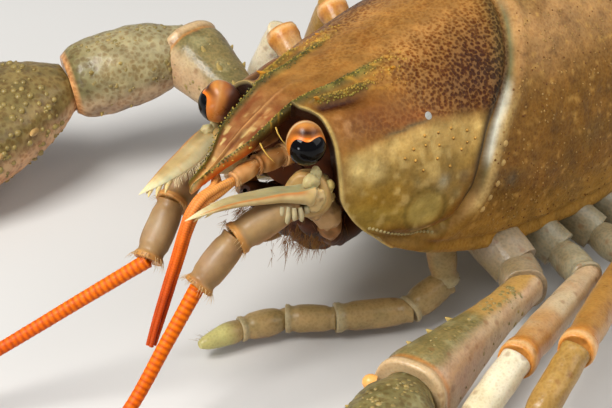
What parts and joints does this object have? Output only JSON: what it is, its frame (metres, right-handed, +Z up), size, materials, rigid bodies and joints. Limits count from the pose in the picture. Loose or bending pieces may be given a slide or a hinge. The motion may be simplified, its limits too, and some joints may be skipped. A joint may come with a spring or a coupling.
{
  "type": "crayfish",
  "caption": "Life-size still noble crayfish resting on the floor, whole body with rostrum, stalked eyes, long feelers, claws, walking legs and tail fan.",
  "frame": {"origin": "on the floor, below the middle of the whole animal's bounding box", "axes": "+Z up, +Y towards the tail, +X towards the animal's left side"},
  "size_m": [0.1028, 0.192, 0.0338],
  "materials": {
    "shell": "moist horny shell, mottled olive and orange brown with fine dark pits",
    "belly": "pale cream underside, satin",
    "limb": "cream to orange tan limb shell with brown flecks, satin",
    "claw": "olive brown claw shell with pale underside, satin",
    "antenna": "vivid orange ringed feelers, satin",
    "scale": "pale cream feeler stems and scales with olive ridge, glossy",
    "stalk": "translucent orange brown eye cap, glossy",
    "cornea": "black, wet gloss",
    "mouth": "dark orange brown mouthparts, hairy"
  },
  "bodies": {
    "root": {"abdomen_1": "shell", "abdomen_2": "shell", "abdomen_3": "shell", "abdomen_4": "shell", "abdomen_5": "shell", "abdomen_6": "shell", "antenna_L_1": "antenna", "antenna_L_2": "antenna", "antenna_L_3": "antenna", "antenna_R_1": "antenna", "antenna_R_2": "antenna", "antenna_R_3": "antenna", "antenna_base_L": "scale", "antenna_base_R": "scale", "antenna_stem_L": "scale", "antenna_stem_R": "scale", "antennal_scale_L": "scale", "antennal_scale_R": "scale", "antennule_L": "antenna", "antennule_R": "antenna", "carapace": "shell", "cheliped_L_carpus": "claw", "cheliped_L_claw": "claw", "cheliped_L_merus": "limb", "cheliped_L_thumb": "claw", "cheliped_R_carpus": "claw", "cheliped_R_claw": "claw", "cheliped_R_merus": "limb", "cheliped_R_thumb": "claw", "eye_L": "cornea", "eye_R": "cornea", "eyestalk_L": "stalk", "eyestalk_R": "stalk", "leg_2_L_lower": "limb", "leg_2_L_upper": "limb", "leg_2_R_lower": "limb", "leg_2_R_upper": "limb", "leg_3_L_lower": "limb", "leg_3_L_upper": "limb", "leg_3_R_lower": "limb", "leg_3_R_upper": "limb", "leg_4_L_lower": "limb", "leg_4_L_upper": "limb", "leg_4_R_lower": "limb", "leg_4_R_upper": "limb", "leg_5_L_lower": "limb", "leg_5_L_upper": "limb", "leg_5_R_lower": "limb", "leg_5_R_upper": "limb", "maxilliped_L": "limb", "maxilliped_R": "mouth", "mouthparts": "mouth", "telson": "shell", "thorax": "belly", "uropod_inner_L": "shell", "uropod_inner_R": "shell", "uropod_outer_L": "shell", "uropod_outer_R": "shell"}
  },
  "joints": []
}
